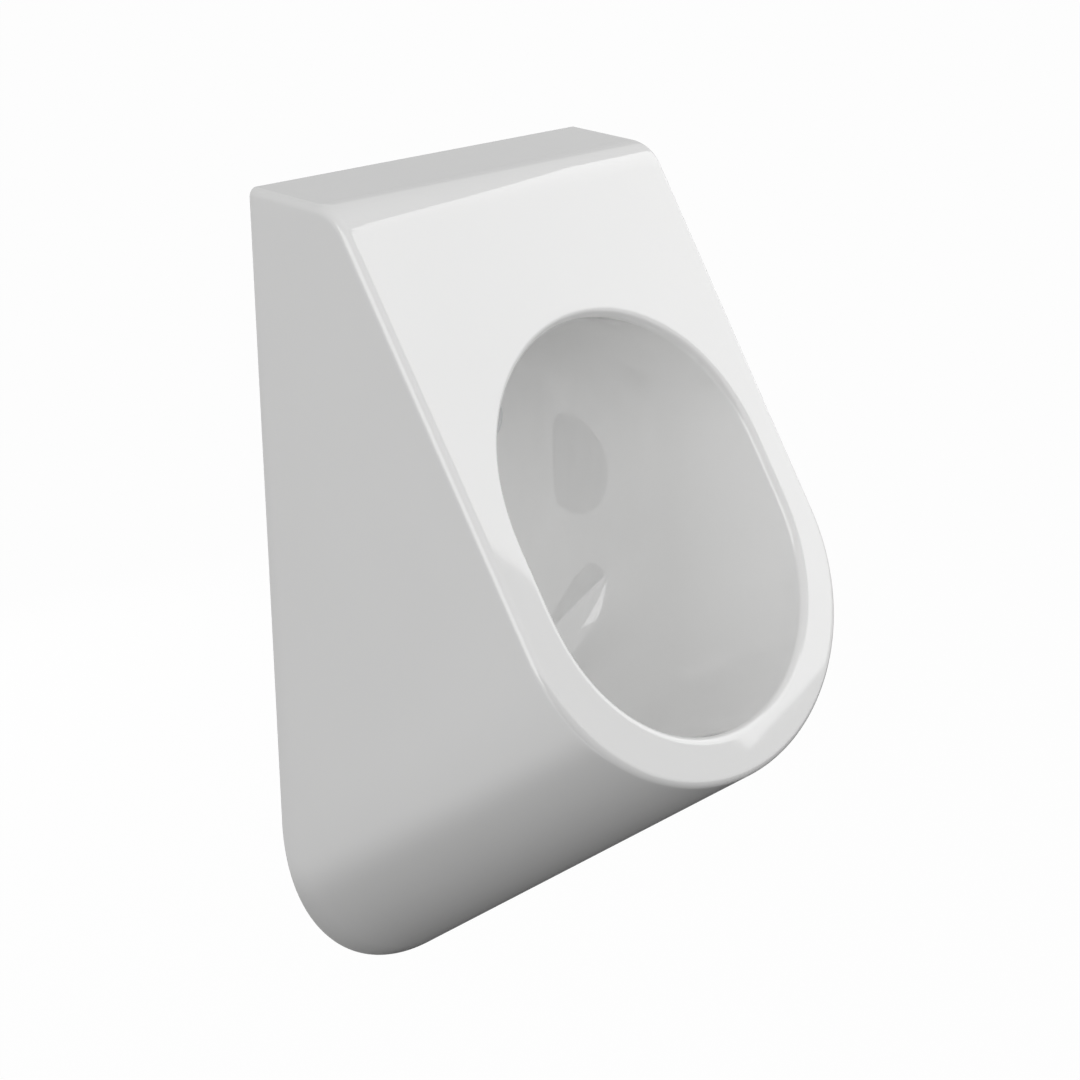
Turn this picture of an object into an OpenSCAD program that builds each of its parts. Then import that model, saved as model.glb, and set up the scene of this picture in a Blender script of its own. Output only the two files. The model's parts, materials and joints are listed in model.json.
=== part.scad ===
// Wall hung urinal in glazed vitreous china, with its waste trap, rear water inlet and wall hangers.
// Origin: centre of the waste pipe on the wall plane. X right, Y into the wall, Z up.
// Inside the functions a point is [across, depth in front of the wall, height above the bottom edge].

/* [Body] */
// Width over the two flat sides
body_w = 350; // [335:1:370]
// Height of the back
body_h = 615; // [600:1:640]
// Depth of the slanted front plane, carried up to the height of the back
top_depth = 67; // [62:1:76]
// Fall of the top face towards the front, in degrees
top_fall = 5.7; // [4:0.1:8]
// Slant of the front face from the vertical, in degrees
front_slant = 30; // [28:0.5:32]
// Rise of the underside towards the front, in degrees
under_rise = 39.3; // [38:0.1:41]
// Radius between the top face and the front face
top_round = 32; // [26:1:38]
// Radius along the outer edges of the front face
edge_round = 8; // [5:0.5:9]
// Wall of the outer shell
shell_wall = 12; // [10:0.5:13]

/* [Opening and bowl] */
// Width of the front face beside the opening, on each side
rail_w = 34.5; // [33:0.5:40]
// Width of the front face below the opening, up to the edge it would have unrounded
lip_w = 31.6; // [16:0.1:28]
// Distance down the front face from the top round to the opening
opening_drop = 89; // [84:1:96]
// Radius that rolls the rim into the bowl
rim_round = 6; // [4:0.5:7]
// Wall of the bowl
bowl_wall = 11; // [9:0.5:12]
// Depth of the bowl's back wall in front of the building wall
bowl_back = 38; // [35:0.5:42]
// How much narrower the bowl is at its back wall than at the opening, on each side
back_taper = 3.5; // [2:0.5:6]
// Distance from the top edge down to the top of the bowl's back wall
back_drop = 106.2; // [100:0.1:112]
// Length of the soft corner where the bowl's sides meet its back wall
corner_len = 56; // [46:1:62]
// Length of the same corner along the middle of the bowl's floor
floor_len = 160; // [140:1:180]

/* [Back flange] */
// Thickness of the flange that stands against the wall
flange_t = 12; // [10:0.5:14]
// Width of the flange beside the open back, on each side
flange_w = 57; // [50:1:65]
// Bottom of the open back above the bottom edge
open_low = 62; // [56:1:70]
// Top of the open back below the top edge
open_drop = 118; // [112:1:126]

/* [Waste] */
// Depth of the drain in front of the wall
drain_depth = 88; // [86:0.5:90]
// Height of the drain's seat above the lowest corner of the bowl
seat_rise = 36.5; // [35:0.5:38]
// Thickness of the china under the drain's seat
seat_t = 12; // [10:0.5:13]
// Radius of the drain's seat
seat_r = 38; // [36.5:0.5:40]
// Radius of the hole through the china
drain_hole_r = 33; // [32.5:0.1:33.5]
// Outer radius of the drain ring's tail
tail_r = 32; // [31.6:0.1:32.2]
// Wall of the drain ring's tail
tail_wall = 2.5; // [2:0.1:3]
// Length of the drain ring's tail below the seat
tail_len = 32; // [28:0.5:35]
// Wall of the trap housing
housing_wall = 2.6; // [2:0.1:3.2]
// Clearance between the trap housing and the shell below it
trap_clear = 3.2; // [2.5:0.1:6]
// Height of the trap housing below the china
housing_h = 53; // [51:0.5:55]
// Outer radius of the waste pipe
pipe_r = 25; // [24:0.5:25]
// Wall of the waste pipe
pipe_wall = 1.8; // [1.5:0.1:3]
// Length of the waste pipe that enters the building wall
pipe_out = 50; // [30:1:60]
// Radius of the trap cartridge
cartridge_r = 28.4; // [27.5:0.1:28.6]
// Radius of the cartridge's standpipe
standpipe_r = 10; // [9:0.5:11]
// Radius of the bell over the standpipe
bell_r = 17; // [15.5:0.5:18.5]
// Radius of the strainer
strainer_r = 36.2; // [35.5:0.1:36.4]
// Height of the strainer's crown
strainer_crown = 5; // [3:0.5:7]
// Radius of one hole in the strainer
strainer_hole_r = 2.2; // [1.8:0.1:2.4]

/* [Water inlet] */
// Depth of the inlet below the top of the bowl's back wall
inlet_drop = 76; // [73:1:82]
// Outer radius of the inlet thread
thread_r = 10.48; // [9:0.1:11]
// Radius of the waterway
waterway_r = 7; // [6:0.5:7.5]
// Radius of the inlet hole through the china
inlet_hole_r = 12; // [11.5:0.5:13]
// Length of the inlet thread that enters the building wall
thread_out = 22; // [15:1:30]
// Radius of the spreader
spreader_r = 17; // [16.5:0.5:18]
// How far the spreader stands into the bowl
spreader_len = 13; // [12:0.5:15]

/* [Hangers] */
// Distance between the two hangers
hanger_pitch = 190; // [180:1:200]
// Distance from the top edge down to the hooks
hanger_drop = 45; // [42:1:50]
// Width of one hanger
hanger_w = 34; // [30:1:38]
// Thickness of the hanger's steel
hanger_t = 4; // [3:0.5:5]
// Height of one hanger's wall plate
hanger_h = 48; // [46:1:52]
// Radius of the hanger screws
screw_r = 4; // [3.5:0.5:4.5]
// Outer radius of the wall plugs
plug_r = 6; // [5.5:0.5:7]
// Length of the wall plugs
plug_len = 42; // [35:1:45]

/* [Hidden] */

$fn = 96;
// Clearance between pieces that are pushed together and stay
seat_gap = 0.3;
// Clearance between pieces that are screwed or pressed together
grip_gap = 0.1;
// Overrun of a cut past the face it opens
over = 1;
// Facets of small holes and rings in the preview
small_fn = 24;
// Sides of the strainer's holes and of the O-rings' section
hole_fn = 12;

// Counts of stations round half of the outline, and of the rings that join them
under_steps = 14;
side_steps = 6;
arc_steps = 3;
corner_steps = 4;
top_steps = 5;
round_steps = 5;

// Outline of the front in the middle section: top face, round, slanted front face
turn = 90 - front_slant - top_fall;
tangent_len = top_round * tan(turn / 2);
meet_depth = top_depth / (1 - tan(top_fall) * tan(front_slant));
meet_h = body_h - meet_depth * tan(top_fall);
top_len = meet_depth / cos(top_fall) - tangent_len;
arc_len = top_round * turn * PI / 180;
face_v = top_len + arc_len;
face_depth = meet_depth + tangent_len * sin(front_slant);
face_h = meet_h - tangent_len * cos(front_slant);
round_depth = top_len * cos(top_fall) - top_round * sin(top_fall);
round_h = body_h - top_len * sin(top_fall) - top_round * cos(top_fall);
face_n = [0, cos(front_slant), sin(front_slant)];
face_p = [0, face_depth, face_h];
under_dir = [0, cos(under_rise), sin(under_rise)];
half_w = body_w / 2;

// Squareness of the opening: share of the third wave across and along
square_x_share = 0.133;
square_z_share = 0.115;
lip_v = (face_h - face_depth * tan(under_rise)) / (cos(front_slant) + sin(front_slant) * tan(under_rise));
opening_w = body_w - 2 * rail_w;
opening_len = lip_v - lip_w - opening_drop;
opening_v = opening_drop + opening_len / 2;
inner_round = shell_wall / 3;
open_w = body_w - 2 * flange_w;

// The bowl stands on the drain, the drain on the trap, and the trap clears the shell of the underside
seal_t = 2;
housing_r = tail_r + seat_gap + housing_wall;
housing_low_h = (drain_depth + housing_r) * tan(under_rise) + shell_wall / cos(under_rise) + trap_clear;
housing_top_h = housing_low_h + housing_h;
china_low_h = housing_top_h + seal_t;
seat_h = china_low_h + seat_t;
bowl_low_h = seat_h - seat_rise;
back_w = opening_w - 2 * back_taper;
back_h = body_h - back_drop - bowl_low_h;
back_mid_h = bowl_low_h + back_h / 2;

// Share of the front's width over which the rails of the top corner spread out
corner_share = 0.3;

function unit(a) = a / norm(a);
function mix(a, b, t) = a + (b - a) * t;
function angle_between(a, b) = acos(max(-1, min(1, a * b)));
function turn_from(a, b, t) = let(w = angle_between(a, b)) (sin((1 - t) * w) * a + sin(t * w) * b) / sin(w);

// The front sheet at distance v from the wall: [depth, height, tilt of its normal from the vertical]
function sheet(v) =
    v < top_len ? [v * cos(top_fall), body_h - v * sin(top_fall), top_fall]
    : v < face_v ? let(a = top_fall + (v - top_len) / top_round * 180 / PI)
        [round_depth + top_round * sin(a), round_h + top_round * cos(a), a]
    : let(down = v - face_v)
        [face_depth + down * sin(front_slant), face_h - down * cos(front_slant), 90 - front_slant];

// How far the rounded side edge of radius r lies under the sheet at share c
function edge_fall(c, r) = r * (1 - sin(90 * min(c, 1)));

// A point on the sheet or its rounded side edge:
// c goes from 0 at the side over 1 at the round's end to 2 in the middle
function skin(v, c, inset, r) = let(s = sheet(v), x = half_w - inset - r, off = inset + edge_fall(c, r))
    [c > 1 ? x * (2 - c) : x + r * cos(90 * c), s[0] - off * sin(s[2]), s[1] - off * cos(s[2])];

// The underside is a half round swept forwards and up: its outline on the wall and its outward normal
function under_edge(t) = [half_w * sin(t), 0, half_w - half_w * cos(t)];
function under_n(t) = unit([cos(under_rise) * sin(t), sin(under_rise) * cos(t), -cos(under_rise) * cos(t)]);
function under_pt(t, inset, off) = let(q = under_edge(t) - inset * under_n(t))
    q + under_dir * (-off - face_n * (q - face_p)) / (face_n * under_dir);
function under_at(t, inset, depth) = let(q = under_edge(t) - inset * under_n(t))
    q + under_dir * (depth - q[1]) / under_dir[1];
function under_round(t, f) =
    under_pt(t, edge_round, edge_round) + edge_round * turn_from(under_n(t), face_n, f);

// Where the half round hands over to the flat side, measured on the sheet
side_v = face_v + (face_h - under_round(90, 1)[2]) / cos(front_slant);

// How far along the sheet the skin reaches a given depth in front of the wall
function v_at(depth, c, inset, r) = (depth + (inset + edge_fall(c, r)) * sin(top_fall)) / cos(top_fall);

// Rails from the wall to the opening over half of the outline, bottom to top:
// [kind, angle or share up the side, sheet start, edge start, sheet end, edge end]
spread = arc_steps + corner_steps + 1;
side_all = side_steps + arc_steps + 1;
rails = [
    for (i = [0 : under_steps]) [0, 90 * i / under_steps, 0, 0, 0, 0],
    for (i = [1 : side_steps]) let(v = mix(side_v, face_v, i / side_steps))
        [1, i / side_all, v, 0, v, 1],
    for (i = [1 : arc_steps])
        [1, (side_steps + i) / side_all, face_v - arc_len * i / (arc_steps + 1), 0,
            face_v, 1 + corner_share * i / spread],
    for (i = [0 : corner_steps])
        [2, 0, top_len, i / corner_steps, face_v, 1 + corner_share * (arc_steps + 1 + i) / spread],
    for (i = [1 : top_steps])
        [2, 0, top_len, 1 + i / top_steps, face_v, mix(1 + corner_share, 2, i / top_steps)]];
half_n = len(rails);

// Points of one rail on the outer skin: at the wall, and at share f across the rounded edge
function corner_h(inset, r, depth) = skin(v_at(depth, 0, inset, r), 0, inset, r)[2];
function at_wall(q) = q[0] == 0 ? under_edge(q[1])
    : q[0] == 1 ? [half_w, 0, mix(half_w, corner_h(0, edge_round, 0), q[1])]
    : skin(v_at(0, q[3], 0, edge_round), q[3], 0, edge_round);
function at_edge(q, f) = q[0] == 0 ? under_round(q[1], f)
    : skin(mix(q[2], q[4], f), mix(q[3], q[5], f), 0, edge_round);

// Points of one rail on the inner face of the shell
function at_flange(q) = q[0] == 0 ? under_at(q[1], shell_wall, flange_t)
    : q[0] == 1 ? [half_w - shell_wall, flange_t,
        mix(under_at(90, shell_wall, flange_t)[2], corner_h(shell_wall, inner_round, flange_t), q[1])]
    : skin(v_at(flange_t, q[3], shell_wall, inner_round), q[3], shell_wall, inner_round);
function at_hollow(q, f) = q[0] == 0
    ? under_pt(q[1], shell_wall + f * inner_round, shell_wall + (1 - f) * inner_round)
    : skin(mix(q[2], q[4], f), mix(q[3], q[5], f), shell_wall, inner_round);

// Rounded oblong of half sizes a across and b up, and its outward normal, at angle p from its top
function oblong(p, a, b) = [a * ((1 + square_x_share) * sin(p) + square_x_share * sin(3 * p)),
    b * ((1 - square_z_share) * cos(p) + square_z_share * cos(3 * p))];
function oblong_n(p, a, b) = unit([
    b * ((1 - square_z_share) * sin(p) + 3 * square_z_share * sin(3 * p)),
    a * ((1 + square_x_share) * cos(p) + 3 * square_x_share * cos(3 * p))]);

// The angle at which a rail meets the opening
function rail_angle(q) = let(e = at_edge(q, 1), down = (face_h - e[2]) / cos(front_slant))
    atan2(e[0] / opening_w, (opening_v - down) / opening_len);

// A point of the slanted face's own plane, u across and v up from the middle of the opening
function on_face(u, v) = let(down = opening_v - v)
    [u, face_depth + down * sin(front_slant), face_h - down * cos(front_slant)];
face_up = [0, -sin(front_slant), cos(front_slant)];
function rim(p) = let(o = oblong(p, opening_w / 2, opening_len / 2)) on_face(o[0], o[1]);
function rim_out(p) = let(n = oblong_n(p, opening_w / 2, opening_len / 2)) [n[0], 0, 0] + n[1] * face_up;
function bowl_corner(p) = let(o = oblong(p, back_w / 2, back_h / 2)) [o[0], bowl_back, back_mid_h + o[1]];
bowl_pole = [0, bowl_back, back_mid_h];

// The rolled rim: share f from the face to the bowl's side
function roll_end(p) = let(r = unit(bowl_corner(p) - rim(p)), a = atan2(-(r * rim_out(p)), -(r * face_n)))
    -rim_out(p) * cos(a) + face_n * sin(a);
function roll(p, f) = rim(p) + rim_round * (rim_out(p) - face_n + turn_from(face_n, roll_end(p), f));

// The bowl along one rail: s is 0 at the rim, 1 and 2 at the ends of its soft corner, 3 at its pole
function conic(a, m, b, t) = let(w = sin(angle_between(unit(a - m), unit(b - m)) / 2))
    (a * (1 - t) ^ 2 + m * 2 * w * t * (1 - t) + b * t ^ 2) / ((1 - t) ^ 2 + 2 * w * t * (1 - t) + t ^ 2);
function floor_share(p) = pow(max(0, -cos(p)), 2);
function bowl(p, s) = let(c = bowl_corner(p), r = roll(p, 1), b = c + corner_len * unit(bowl_pole - c),
    a = c + mix(corner_len, floor_len, floor_share(p)) * unit(r - c))
    s < 1 ? mix(r, a, s) : s < 2 ? conic(a, c, b, s - 1) : mix(b, bowl_pole, s - 2);
angle_step = 0.5;
rail_step = 0.01;
function bowl_out(p, s) = let(
    across = bowl(p + angle_step, s) - bowl(p - angle_step, s),
    along = bowl(p, s + rail_step) - bowl(p, s - rail_step))
    bowl(p, s) - bowl_wall * unit(cross(across, along));

// The open back of the flange
function back_edge(p, depth) = let(o = oblong(p, open_w / 2, (body_h - open_drop - open_low) / 2))
    [o[0], depth, (body_h - open_drop + open_low) / 2 + o[1]];

// Rings of the china from the bowl's middle outwards, round the wall edge and back over the hidden side
bowl_shares = [2.7, 2.3, 2, 1.85, 1.7, 1.55, 1.4, 1.2, 1, 0.6, 0.2];
hidden_shares = [0.08, 0.5, 1, 1.25, 1.5, 1.75, 2, 2.5];
function ring(q, k) = let(p = rail_angle(q)) k[0] == 0 ? bowl(p, k[1])
    : k[0] == 1 ? roll(p, k[1])
    : k[0] == 2 ? mix(roll(p, 0), at_edge(q, 1), k[1])
    : k[0] == 3 ? at_edge(q, k[1])
    : k[0] == 4 ? at_wall(q)
    : k[0] == 5 ? back_edge(p, k[1])
    : k[0] == 6 ? at_flange(q)
    : k[0] == 7 ? at_hollow(q, k[1])
    : bowl_out(p, k[1]);
ring_kinds = [
    for (s = bowl_shares) [0, s],
    for (i = [0 : round_steps]) [1, 1 - i / round_steps],
    [2, 0.5],
    for (i = [0 : round_steps]) [3, 1 - i / round_steps],
    [4, 0], [5, 0], [5, flange_t], [6, 0], [7, 0], [7, 1],
    for (s = hidden_shares) [8, s]];
ring_n = len(ring_kinds);
round_n = 2 * half_n - 2;
function flip(a) = [-a[0], a[1], a[2]];
function full(half) = [for (a = half) a, for (i = [half_n - 2 : -1 : 1]) flip(half[i])];
china_rings = [for (k = ring_kinds) full([for (q = rails) ring(q, k)])];
china_points = [
    bowl_pole,
    for (r = china_rings) for (a = r) a,
    bowl_pole - [0, bowl_wall, 0]];
function id(k, i) = 1 + k * round_n + i % round_n;
china_faces = [
    for (i = [0 : round_n - 1]) [0, id(0, i), id(0, i + 1)],
    for (k = [0 : ring_n - 2]) for (i = [0 : round_n - 1]) each [
        [id(k, i), id(k + 1, i), id(k + 1, i + 1)],
        [id(k, i), id(k + 1, i + 1), id(k, i + 1)]],
    for (i = [0 : round_n - 1]) [id(ring_n - 1, i), 1 + ring_n * round_n, id(ring_n - 1, i + 1)]];

// Waste: heights above the bottom edge, radii about the drain's axis
boss_wall = 8.4;
boss_r = seat_r + boss_wall;
boss_up = 6.6;
ring_flange_t = 2.5;
ring_r = seat_r - seat_gap;
ring_bore_r = tail_r - tail_wall;
ring_top_h = seat_h + seal_t + ring_flange_t;
flange_inset = 1;
housing_flange_r = boss_r - flange_inset;
housing_flange_t = 4;
chamber_r = housing_r - housing_wall;
outlet_h = housing_low_h + pipe_r;
socket_r = pipe_r + seat_gap + housing_wall;
socket_len = 18;
socket_depth = drain_depth - housing_r - socket_len;
pipe_in = 15;
collar_wall = 2;
collar_t = 3;
nut_wall = 3;
nut_bore_r = socket_r + seat_gap;
nut_r = nut_bore_r + nut_wall;
nut_t = 5;
nut_grip = 5;
rib_n = 16;
rib_r = 1.2;
wedge_t = 3;

// Cartridge: a cup with a standpipe, and a bell that dips into its water
cup_wall = 1.8;
cup_flange_r = 33;
cup_flange_t = 1.5;
cup_low_gap = 10;
cup_low_h = housing_low_h + housing_wall + cup_low_gap;
cup_len = ring_top_h - cup_low_h;
cup_bore_r = cartridge_r - cup_wall;
standpipe_wall = 1.8;
standpipe_len = 38.8;
bell_gap = 4;
bell_low = cup_wall + bell_gap;
bell_headroom = 8.3;
bell_top = standpipe_len + bell_headroom + cup_wall;
fin_n = 4;
fin_t = 2;
fin_h = 5;
ledge_w = 2.6;
ledge_t = 1.5;
ledge_up = bell_top - fin_h - ledge_t;
knob_r = 4;
knob_len = 8;
o_ring_r = 1;
o_ring_gap = 0.2;
o_ring_mid_r = ring_bore_r - o_ring_gap - o_ring_r;
o_ring_drop = 10;
o_ring_pitch = 9;

// Strainer
plate_t = 1.5;
skirt_t = 1.6;
skirt_play = 1;
skirt_h = cup_flange_t + skirt_play;
strainer_rings = 4;
hole_pitch = 7.6;
dome_r = (strainer_r ^ 2 + strainer_crown ^ 2) / (2 * strainer_crown);
band_h = 2.4;
band_gap = 0.6;
band_t = seat_r - strainer_r - band_gap;

// Water inlet
inlet_h = body_h - back_drop - inlet_drop;
front_seal_t = 1.5;
spud_flange_t = 3;
spud_flange_r = 15;
spud_depth = bowl_back + front_seal_t + spud_flange_t;
relief_w = 2;
relief_t = 0.9;
stub_wall = 2;
stub_r = waterway_r + stub_wall;
stub_len = 6;
port_r = 1.4;
port_n = 6;
back_seal_t = 2;
washer_t = 1.6;
inlet_nut_t = 6;
inlet_nut_r = 16.2;
inlet_washer_r = 18;
filter_step = 1.4;
filter_r = waterway_r + filter_step;
filter_t = 2.4;
mesh_r = 0.9;
mesh_pitch = 3;
cap_wall = 1.5;
cap_round = 3;
slot_w = 2.6;
slot_n = 9;
slot_step = 22;
slot_len = 4;

// Hangers
hook_h = body_h - hanger_drop;
pad_t = 2;
window_play = 4;
window_w = hanger_w + 2 * window_play;
hook_reach = flange_t + pad_t + hanger_t;
hook_up = 14;
window_low = hook_up + window_play;
window_h = hanger_h + pad_t + window_low;
screw_drop = 26;
screw_head_t = 5.5;
screw_head_r = 7.2;
washer_r = 9;
plug_end = 3;

module at_drain(h) translate([0, -drain_depth, h - outlet_h]) children();
module to_wall(depth, h) translate([0, -depth, h - outlet_h]) rotate([-90, 0, 0]) children();
module tube(r, inner, h) difference() {
    cylinder(r = r, h = h);
    translate([0, 0, -over]) cylinder(r = inner, h = h + 2 * over);
}
module around(n, step) for (i = [0 : n - 1]) rotate([0, 0, i * step]) children();
module each_hanger() for (side = [-1, 1]) translate([side * hanger_pitch / 2, 0, 0]) children();

module ceramic_body() color([0.95, 0.95, 0.94]) difference() {
    union() {
        translate([0, 0, -outlet_h]) mirror([0, 1, 0]) polyhedron(china_points, china_faces, convexity = 8);
        at_drain(china_low_h) cylinder(r = boss_r, h = seat_t + boss_up);
    }
    at_drain(seat_h) cylinder(r = seat_r, h = seat_r);
    at_drain(china_low_h - over) cylinder(r = drain_hole_r, h = seat_t + 2 * over);
    to_wall(bowl_back + over, inlet_h) cylinder(r = inlet_hole_r, h = bowl_wall + 2 * over);
    each_hanger() translate([-window_w / 2, -flange_t - over, hook_h + pad_t - window_h - outlet_h])
        cube([window_w, flange_t + 2 * over, window_h]);
}

module drain_ring() color([0.72, 0.73, 0.75]) {
    at_drain(seat_h + seal_t) tube(ring_r, ring_bore_r, ring_flange_t);
    at_drain(seat_h - tail_len) tube(tail_r, ring_bore_r, tail_len + seal_t + over);
}

module drain_ring_seal() color([0.12, 0.12, 0.12]) at_drain(seat_h) tube(ring_r, tail_r + seat_gap, seal_t);

module housing_seal() color([0.12, 0.12, 0.12])
    at_drain(housing_top_h) tube(housing_flange_r, tail_r + seat_gap, seal_t);

module trap_housing() color([0.86, 0.87, 0.88]) difference() {
    union() {
        at_drain(housing_low_h) cylinder(r = housing_r, h = housing_h);
        at_drain(housing_top_h - housing_flange_t) cylinder(r = housing_flange_r, h = housing_flange_t);
        to_wall(drain_depth, outlet_h) cylinder(r = socket_r, h = drain_depth - socket_depth);
    }
    at_drain(housing_low_h + housing_wall) cylinder(r = chamber_r, h = housing_h);
    to_wall(drain_depth - chamber_r / 2, outlet_h)
        cylinder(r = pipe_r + seat_gap, h = drain_depth - chamber_r / 2 - socket_depth + over);
}

module trap_cartridge() color([0.9, 0.9, 0.91]) difference() {
    union() {
        at_drain(ring_top_h) cylinder(r = cup_flange_r, h = cup_flange_t);
        at_drain(cup_low_h) cylinder(r = cartridge_r, h = cup_len + over);
    }
    difference() {
        at_drain(cup_low_h + cup_wall) cylinder(r = cup_bore_r, h = cup_len + cup_flange_t);
        at_drain(cup_low_h) cylinder(r = standpipe_r, h = standpipe_len);
        at_drain(cup_low_h + ledge_up) tube(cartridge_r, cup_bore_r - ledge_w, ledge_t);
    }
    at_drain(cup_low_h - over) cylinder(r = standpipe_r - standpipe_wall, h = standpipe_len + 2 * over);
    for (k = [0, 1]) at_drain(ring_top_h - o_ring_drop - k * o_ring_pitch - o_ring_r)
        tube(cartridge_r + over, o_ring_mid_r - o_ring_r, 2 * o_ring_r);
}

module trap_bell() color([0.25, 0.42, 0.62]) at_drain(cup_low_h) {
    translate([0, 0, bell_low]) difference() {
        cylinder(r = bell_r, h = bell_top - bell_low);
        translate([0, 0, -over]) cylinder(r = bell_r - cup_wall, h = bell_top - bell_low - cup_wall + over);
    }
    translate([0, 0, bell_top - grip_gap]) cylinder(r = knob_r, h = knob_len);
    around(fin_n, 360 / fin_n) translate([bell_r - grip_gap, -fin_t / 2, bell_top - fin_h])
        cube([cup_bore_r - bell_r - seat_gap, fin_t, fin_h]);
}

module cartridge_o_rings() color([0.1, 0.1, 0.1])
    for (k = [0, 1]) at_drain(ring_top_h - o_ring_drop - k * o_ring_pitch)
        rotate_extrude() translate([o_ring_mid_r, 0]) circle(r = o_ring_r, $fn = hole_fn);

// The strainer's plate is a cap of a large ball, its crown above its rim
module dome_profile() intersection() {
    translate([0, strainer_crown - dome_r]) difference() {
        circle(r = dome_r);
        circle(r = dome_r - plate_t);
    }
    translate([0, -plate_t]) square([strainer_r, strainer_crown + 2 * plate_t]);
}
module strainer_hole() cylinder(r = strainer_hole_r, h = skirt_h + 2 * strainer_crown, $fn = hole_fn);
module strainer() color([0.78, 0.79, 0.8]) at_drain(ring_top_h) {
    difference() {
        translate([0, 0, skirt_h]) rotate_extrude() dome_profile();
        strainer_hole();
        for (k = [1 : strainer_rings]) around(6 * k, 60 / k)
            translate([k * hole_pitch, 0, 0]) strainer_hole();
    }
    tube(strainer_r, strainer_r - skirt_t, skirt_h);
}

module strainer_ring() color([0.15, 0.15, 0.15])
    at_drain(ring_top_h) tube(strainer_r + band_t, strainer_r, band_h);

module outlet_nut() color([0.86, 0.87, 0.88]) to_wall(socket_depth + nut_grip, outlet_h) difference() {
    union() {
        cylinder(r = nut_r - rib_r, h = nut_grip + wedge_t + nut_t);
        around(rib_n, 360 / rib_n) translate([nut_r - rib_r, 0, 0])
            cylinder(r = rib_r, h = nut_grip + wedge_t + nut_t, $fn = small_fn);
    }
    translate([0, 0, -over]) cylinder(r = nut_bore_r, h = nut_grip + wedge_t + over);
    cylinder(r = pipe_r + seat_gap, h = nut_grip + wedge_t + nut_t + over);
}

module outlet_seal() color([0.12, 0.12, 0.12])
    to_wall(socket_depth, outlet_h) tube(socket_r, pipe_r + grip_gap, wedge_t);

module waste_pipe() color([0.8, 0.81, 0.82]) {
    to_wall(socket_depth + pipe_in, outlet_h)
        tube(pipe_r, pipe_r - pipe_wall, socket_depth + pipe_in + pipe_out);
    to_wall(collar_t, outlet_h) tube(pipe_r + collar_wall, pipe_r - pipe_wall / 2, collar_t);
}

module inlet_spud() color([0.83, 0.68, 0.36]) difference() {
    union() {
        to_wall(spud_depth, inlet_h) cylinder(r = spud_flange_r, h = spud_flange_t);
        to_wall(spud_depth + stub_len, inlet_h) cylinder(r = stub_r, h = stub_len + over);
        to_wall(spud_depth, inlet_h) cylinder(r = thread_r, h = spud_depth + thread_out);
    }
    to_wall(spud_depth + stub_len + over, inlet_h)
        cylinder(r = waterway_r, h = spud_depth + stub_len + thread_out + 2 * over);
    to_wall(-thread_out + filter_t, inlet_h) cylinder(r = filter_r, h = filter_t + over);
    to_wall(relief_w, inlet_h) tube(thread_r + over, thread_r - relief_t, relief_w);
    to_wall(spud_depth + port_r + grip_gap, inlet_h) around(port_n, 360 / port_n)
        rotate([90, 0, 0]) cylinder(r = port_r, h = spud_flange_r, $fn = small_fn);
}

module inlet_front_seal() color([0.12, 0.12, 0.12])
    to_wall(bowl_back + front_seal_t, inlet_h) tube(spud_flange_r, thread_r + seat_gap, front_seal_t);

module inlet_back_seal() color([0.12, 0.12, 0.12])
    to_wall(bowl_back - bowl_wall, inlet_h) tube(spud_flange_r, thread_r + seat_gap, back_seal_t);

module inlet_washer() color([0.75, 0.76, 0.78]) to_wall(bowl_back - bowl_wall - back_seal_t, inlet_h)
    tube(inlet_washer_r, thread_r + seat_gap, washer_t);

module inlet_nut() color([0.83, 0.68, 0.36])
    to_wall(bowl_back - bowl_wall - back_seal_t - washer_t, inlet_h) difference() {
        cylinder(r = inlet_nut_r, h = inlet_nut_t, $fn = 6);
        translate([0, 0, -over]) cylinder(r = thread_r + grip_gap, h = inlet_nut_t + 2 * over);
    }

module mesh_hole() translate([0, 0, -over]) cylinder(r = mesh_r, h = filter_t + 2 * over, $fn = small_fn);
module inlet_filter() color([0.75, 0.76, 0.78]) to_wall(-thread_out + filter_t, inlet_h) difference() {
    cylinder(r = filter_r - grip_gap, h = filter_t);
    mesh_hole();
    for (k = [1, 2]) around(6 * k, 60 / k) translate([k * mesh_pitch, 0, 0]) mesh_hole();
}

// The spreader is a cap on the spud's stub that lets the water out through slots round its lower edge
module cap_profile() {
    square([spreader_r, spreader_len - cap_round]);
    square([spreader_r - cap_round, spreader_len]);
    translate([spreader_r - cap_round, spreader_len - cap_round]) circle(r = cap_round);
}
module cap_slot() translate([spreader_r - 2 * cap_wall, -slot_w / 2, -over])
    cube([3 * cap_wall, slot_w, slot_len + over]);
module spreader() color([0.8, 0.81, 0.83])
    translate([0, -bowl_back - grip_gap, inlet_h - outlet_h]) rotate([90, 0, 0]) difference() {
        rotate_extrude() cap_profile();
        difference() {
            translate([0, 0, -over]) cylinder(r = spreader_r - cap_wall, h = spreader_len - cap_wall + over);
            translate([0, 0, spreader_len - cap_wall - stub_len / 2])
                tube(stub_r + cap_wall, stub_r + grip_gap, stub_len);
        }
        rotate([0, 0, -90 - slot_step * (slot_n - 1) / 2]) around(slot_n, slot_step) cap_slot();
    }

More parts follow.
